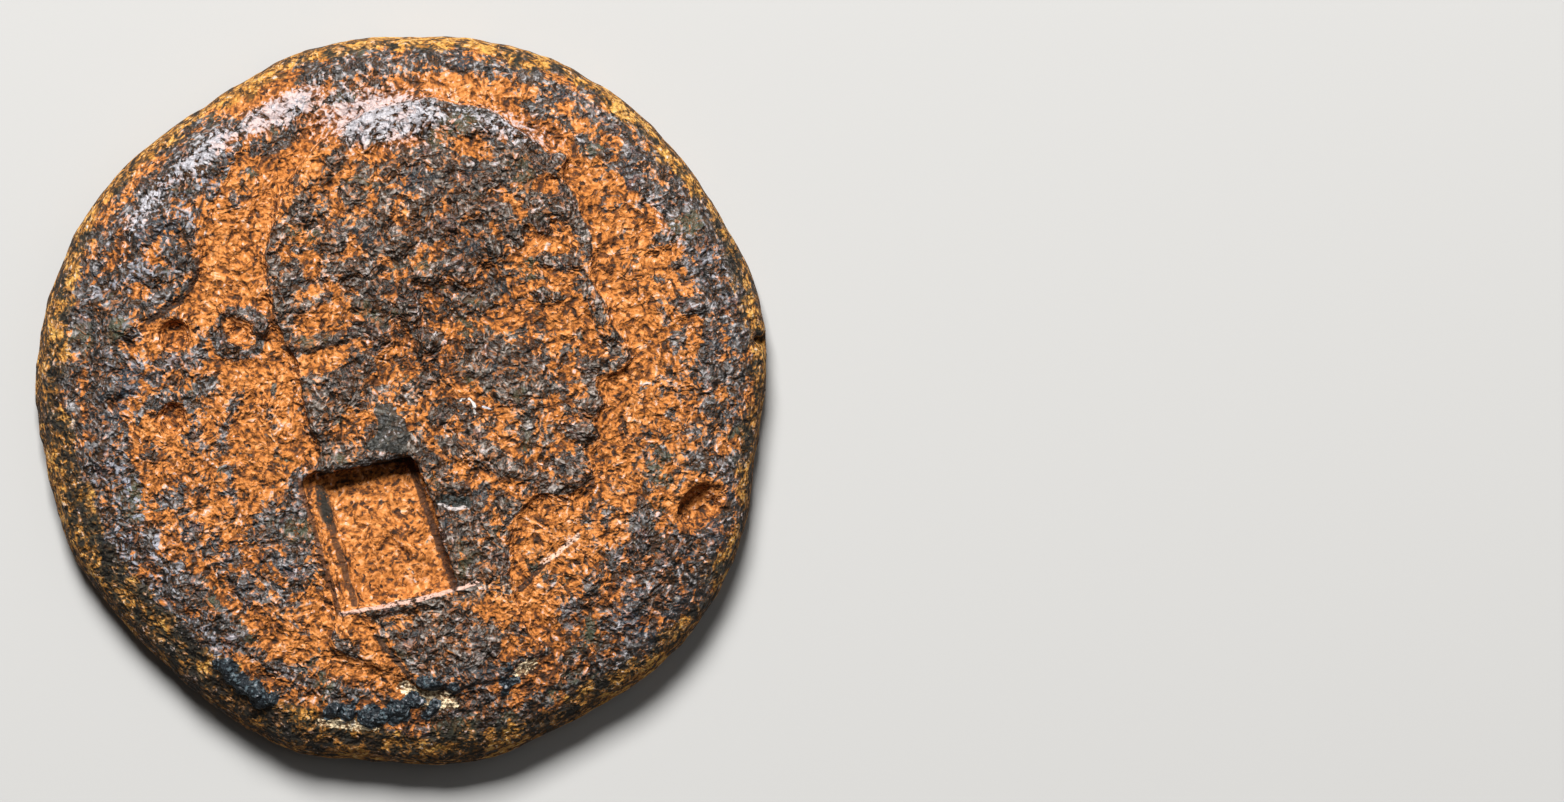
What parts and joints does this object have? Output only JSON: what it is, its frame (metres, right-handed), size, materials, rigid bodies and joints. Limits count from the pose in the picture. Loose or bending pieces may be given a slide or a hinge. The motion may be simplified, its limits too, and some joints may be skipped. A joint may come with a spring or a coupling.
{
  "type": "roman bronze coin",
  "caption": "Thick hand-struck bronze disc: worn laureate head with a punched countermark on one face, laurel wreath round rows of strokes on the other.",
  "frame": {"origin": "middle of the bounding box, at its bottom: the plane that the wreath side's rim lies on", "axes": "+Z out of the head side, +Y to the top of both designs, +X the way the head faces"},
  "size_m": [0.0272, 0.0272, 0.004],
  "materials": {
    "bronze": "dark worn patina on the raised parts, orange earth in the hollows, olive towards the edge"
  },
  "bodies": {
    "root": {"coin": "bronze"}
  },
  "joints": []
}
